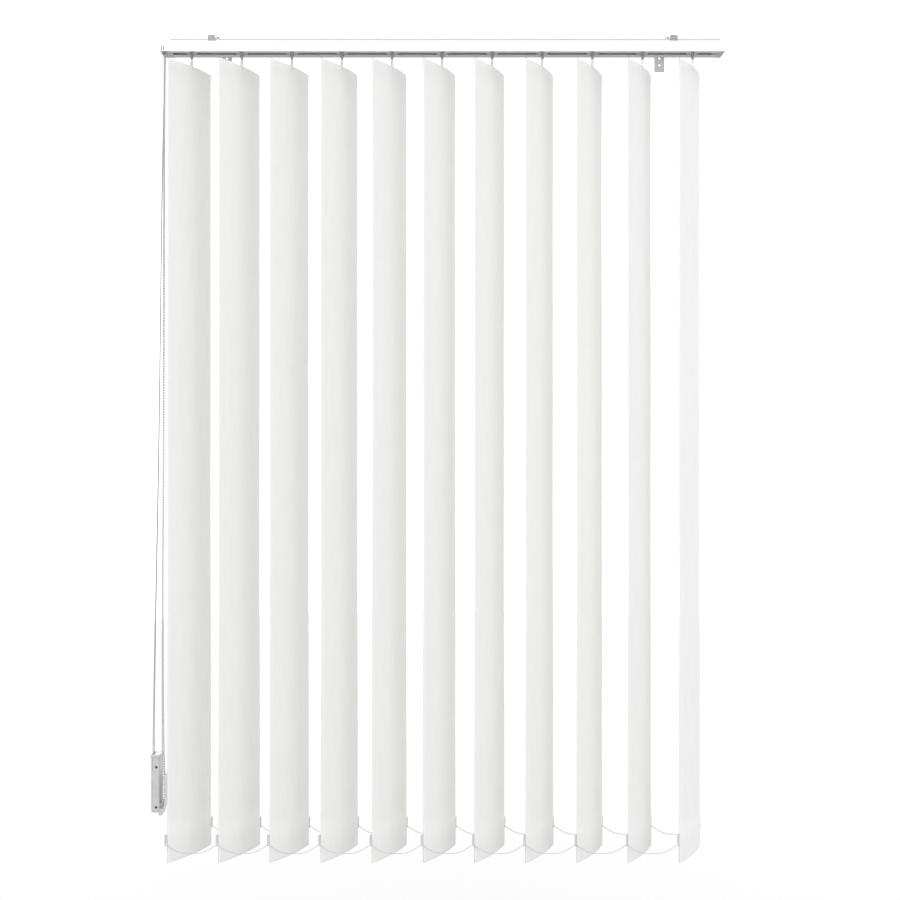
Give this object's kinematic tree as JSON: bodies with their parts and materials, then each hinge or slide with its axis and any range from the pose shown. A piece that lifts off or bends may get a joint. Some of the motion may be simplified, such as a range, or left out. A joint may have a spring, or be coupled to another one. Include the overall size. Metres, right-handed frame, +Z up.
{
  "type": "vertical blind",
  "caption": "Wall-hung vertical blind: curved cloth louvres on tilting hooks under a slotted headrail, with chain, cord and wall tensioner.",
  "frame": {"origin": "centre of the four wall screw holes, on the wall plane", "axes": "+Z up, +Y into the wall, -Y into the room, X along the headrail with the controls at -X"},
  "size_m": [1.3015, 0.1481, 1.825],
  "materials": {
    "rail_paint": "powder-coated white extrusion",
    "white_plastic": "moulded white plastic",
    "bracket_steel": "white coated steel",
    "clip_steel": "spring steel",
    "bolt_steel": "dark zinc",
    "rod_aluminium": "mill finish",
    "gear_plastic": "acetal",
    "bead_chain": "moulded beads",
    "cord_braid": "braided polyester",
    "tensioner_plastic": "clear-white plastic",
    "small_chain": "moulded beads",
    "carrier_plastic": "moulded plastic",
    "hook_plastic": "translucent plastic",
    "louvre_cloth": "woven blackout polyester",
    "weight_plastic": "moulded plastic"
  },
  "bodies": {
    "rail": {"headrail": "rail_paint", "control_housing": "white_plastic", "idle_end_cap": "white_plastic", "wall_bracket_left": "bracket_steel", "wall_bracket_right": "bracket_steel", "spring_clips": "clip_steel", "clip_bolts": "bolt_steel", "carrier_01": "carrier_plastic", "traverse_cord": "cord_braid", "tilt_chain": "bead_chain", "tensioner_body": "tensioner_plastic"},
    "tilt_rod": {"tilt_rod": "rod_aluminium", "chain_sprocket": "gear_plastic"},
    "chain_wheel": {"chain_wheel": "gear_plastic"},
    "cord_pulley": {"cord_pulley": "gear_plastic"},
    "bottom_chain_front": {"bottom_chain_front": "small_chain"},
    "bottom_chain_rear": {"bottom_chain_rear": "small_chain"},
    "louvre_01": {"hook_01": "hook_plastic", "louvre_01": "louvre_cloth", "louvre_fittings_01": "weight_plastic"},
    "louvre_02": {"hook_02": "hook_plastic", "louvre_02": "louvre_cloth", "louvre_fittings_02": "weight_plastic"},
    "carrier_02": {"carrier_02": "carrier_plastic"},
    "louvre_03": {"hook_03": "hook_plastic", "louvre_03": "louvre_cloth", "louvre_fittings_03": "weight_plastic"},
    "carrier_03": {"carrier_03": "carrier_plastic"},
    "louvre_04": {"hook_04": "hook_plastic", "louvre_04": "louvre_cloth", "louvre_fittings_04": "weight_plastic"},
    "carrier_04": {"carrier_04": "carrier_plastic"},
    "louvre_05": {"hook_05": "hook_plastic", "louvre_05": "louvre_cloth", "louvre_fittings_05": "weight_plastic"},
    "carrier_05": {"carrier_05": "carrier_plastic"},
    "louvre_06": {"hook_06": "hook_plastic", "louvre_06": "louvre_cloth", "louvre_fittings_06": "weight_plastic"},
    "carrier_06": {"carrier_06": "carrier_plastic"},
    "louvre_07": {"hook_07": "hook_plastic", "louvre_07": "louvre_cloth", "louvre_fittings_07": "weight_plastic"},
    "carrier_07": {"carrier_07": "carrier_plastic"},
    "louvre_08": {"hook_08": "hook_plastic", "louvre_08": "louvre_cloth", "louvre_fittings_08": "weight_plastic"},
    "carrier_08": {"carrier_08": "carrier_plastic"},
    "louvre_09": {"hook_09": "hook_plastic", "louvre_09": "louvre_cloth", "louvre_fittings_09": "weight_plastic"},
    "carrier_09": {"carrier_09": "carrier_plastic"},
    "louvre_10": {"hook_10": "hook_plastic", "louvre_10": "louvre_cloth", "louvre_fittings_10": "weight_plastic"},
    "carrier_10": {"carrier_10": "carrier_plastic"},
    "louvre_11": {"hook_11": "hook_plastic", "louvre_11": "louvre_cloth", "louvre_fittings_11": "weight_plastic"},
    "carrier_11": {"carrier_11": "carrier_plastic"}
  },
  "joints": [
    {"name": "tilt", "type": "hinge", "parent": "rail", "child": "louvre_01", "pos_m": [-0.5615, -0.094, -0.05], "axis": [0, 0, 1], "range_deg": [-41, 94]},
    {"name": "traverse", "type": "slide", "parent": "rail", "child": "carrier_11", "axis": [1, 0, 0], "range_m": [-0.84, 0], "deforming": ["bottom_chain_front", "bottom_chain_rear"]},
    {"name": "tilt_02", "type": "hinge", "parent": "carrier_02", "child": "louvre_02", "pos_m": [-0.4495, -0.094, -0.05], "axis": [0, 0, 1], "range_deg": [-41, 94]},
    {"name": "traverse_02", "type": "slide", "parent": "rail", "child": "carrier_02", "axis": [1, 0, 0], "range_m": [-0.08401, 0]},
    {"name": "tilt_03", "type": "hinge", "parent": "carrier_03", "child": "louvre_03", "pos_m": [-0.3375, -0.094, -0.05], "axis": [0, 0, 1], "range_deg": [-41, 94]},
    {"name": "traverse_03", "type": "slide", "parent": "rail", "child": "carrier_03", "axis": [1, 0, 0], "range_m": [-0.16801, 0]},
    {"name": "tilt_04", "type": "hinge", "parent": "carrier_04", "child": "louvre_04", "pos_m": [-0.2255, -0.094, -0.05], "axis": [0, 0, 1], "range_deg": [-41, 94]},
    {"name": "traverse_04", "type": "slide", "parent": "rail", "child": "carrier_04", "axis": [1, 0, 0], "range_m": [-0.25201, 0]},
    {"name": "tilt_05", "type": "hinge", "parent": "carrier_05", "child": "louvre_05", "pos_m": [-0.1135, -0.094, -0.05], "axis": [0, 0, 1], "range_deg": [-41, 94]},
    {"name": "traverse_05", "type": "slide", "parent": "rail", "child": "carrier_05", "axis": [1, 0, 0], "range_m": [-0.33601, 0]},
    {"name": "tilt_06", "type": "hinge", "parent": "carrier_06", "child": "louvre_06", "pos_m": [-0.0015, -0.094, -0.05], "axis": [0, 0, 1], "range_deg": [-41, 94]},
    {"name": "traverse_06", "type": "slide", "parent": "rail", "child": "carrier_06", "axis": [1, 0, 0], "range_m": [-0.42001, 0]},
    {"name": "tilt_07", "type": "hinge", "parent": "carrier_07", "child": "louvre_07", "pos_m": [0.1105, -0.094, -0.05], "axis": [0, 0, 1], "range_deg": [-41, 94]},
    {"name": "traverse_07", "type": "slide", "parent": "rail", "child": "carrier_07", "axis": [1, 0, 0], "range_m": [-0.50401, 0]},
    {"name": "tilt_08", "type": "hinge", "parent": "carrier_08", "child": "louvre_08", "pos_m": [0.2225, -0.094, -0.05], "axis": [0, 0, 1], "range_deg": [-41, 94]},
    {"name": "traverse_08", "type": "slide", "parent": "rail", "child": "carrier_08", "axis": [1, 0, 0], "range_m": [-0.58801, 0]},
    {"name": "tilt_09", "type": "hinge", "parent": "carrier_09", "child": "louvre_09", "pos_m": [0.3345, -0.094, -0.05], "axis": [0, 0, 1], "range_deg": [-41, 94]},
    {"name": "traverse_09", "type": "slide", "parent": "rail", "child": "carrier_09", "axis": [1, 0, 0], "range_m": [-0.67201, 0]},
    {"name": "tilt_10", "type": "hinge", "parent": "carrier_10", "child": "louvre_10", "pos_m": [0.4465, -0.094, -0.05], "axis": [0, 0, 1], "range_deg": [-41, 94]},
    {"name": "traverse_10", "type": "slide", "parent": "rail", "child": "carrier_10", "axis": [1, 0, 0], "range_m": [-0.75601, 0]},
    {"name": "tilt_11", "type": "hinge", "parent": "carrier_11", "child": "louvre_11", "pos_m": [0.5585, -0.094, -0.05], "axis": [0, 0, 1], "range_deg": [-41, 94]},
    {"name": "rod_turn", "type": "hinge", "parent": "rail", "child": "tilt_rod", "pos_m": [0, -0.0844, -0.0045], "axis": [1, 0, 0], "range_deg": [-492.1, 1128.1]},
    {"name": "chain_wheel_turn", "type": "hinge", "parent": "rail", "child": "chain_wheel", "pos_m": [-0.646, -0.016, -1.716], "axis": [1, 0, 0], "range_deg": [-399.85, 916.6]},
    {"name": "cord_pulley_turn", "type": "hinge", "parent": "rail", "child": "cord_pulley", "pos_m": [-0.668, -0.016, -1.69], "axis": [1, 0, 0], "range_deg": [-6780, 0]},
    {"name": "chain_front_turn", "type": "hinge", "parent": "louvre_01", "child": "bottom_chain_front", "pos_m": [-0.60581, -0.14553, -1.7665], "axis": [0, 0, 1], "range_deg": [-94, 41]},
    {"name": "chain_rear_turn", "type": "hinge", "parent": "louvre_01", "child": "bottom_chain_rear", "pos_m": [-0.53032, -0.03361, -1.7665], "axis": [0, 0, 1], "range_deg": [-94, 41]}
  ],
  "couplings": [
    {"joint": "tilt_02", "follows": "tilt", "ratio": 1},
    {"joint": "traverse_02", "follows": "traverse", "ratio": 0.1},
    {"joint": "tilt_03", "follows": "tilt", "ratio": 1},
    {"joint": "traverse_03", "follows": "traverse", "ratio": 0.2},
    {"joint": "tilt_04", "follows": "tilt", "ratio": 1},
    {"joint": "traverse_04", "follows": "traverse", "ratio": 0.3},
    {"joint": "tilt_05", "follows": "tilt", "ratio": 1},
    {"joint": "traverse_05", "follows": "traverse", "ratio": 0.4},
    {"joint": "tilt_06", "follows": "tilt", "ratio": 1},
    {"joint": "traverse_06", "follows": "traverse", "ratio": 0.5},
    {"joint": "tilt_07", "follows": "tilt", "ratio": 1},
    {"joint": "traverse_07", "follows": "traverse", "ratio": 0.6},
    {"joint": "tilt_08", "follows": "tilt", "ratio": 1},
    {"joint": "traverse_08", "follows": "traverse", "ratio": 0.7},
    {"joint": "tilt_09", "follows": "tilt", "ratio": 1},
    {"joint": "traverse_09", "follows": "traverse", "ratio": 0.8},
    {"joint": "tilt_10", "follows": "tilt", "ratio": 1},
    {"joint": "traverse_10", "follows": "traverse", "ratio": 0.9},
    {"joint": "tilt_11", "follows": "tilt", "ratio": 1},
    {"joint": "rod_turn", "follows": "tilt", "ratio": 12},
    {"joint": "chain_wheel_turn", "follows": "tilt", "ratio": 9.75},
    {"joint": "cord_pulley_turn", "follows": "traverse", "rad_per_m": 140.84},
    {"joint": "chain_front_turn", "follows": "tilt", "ratio": -1},
    {"joint": "chain_rear_turn", "follows": "tilt", "ratio": -1}
  ]
}
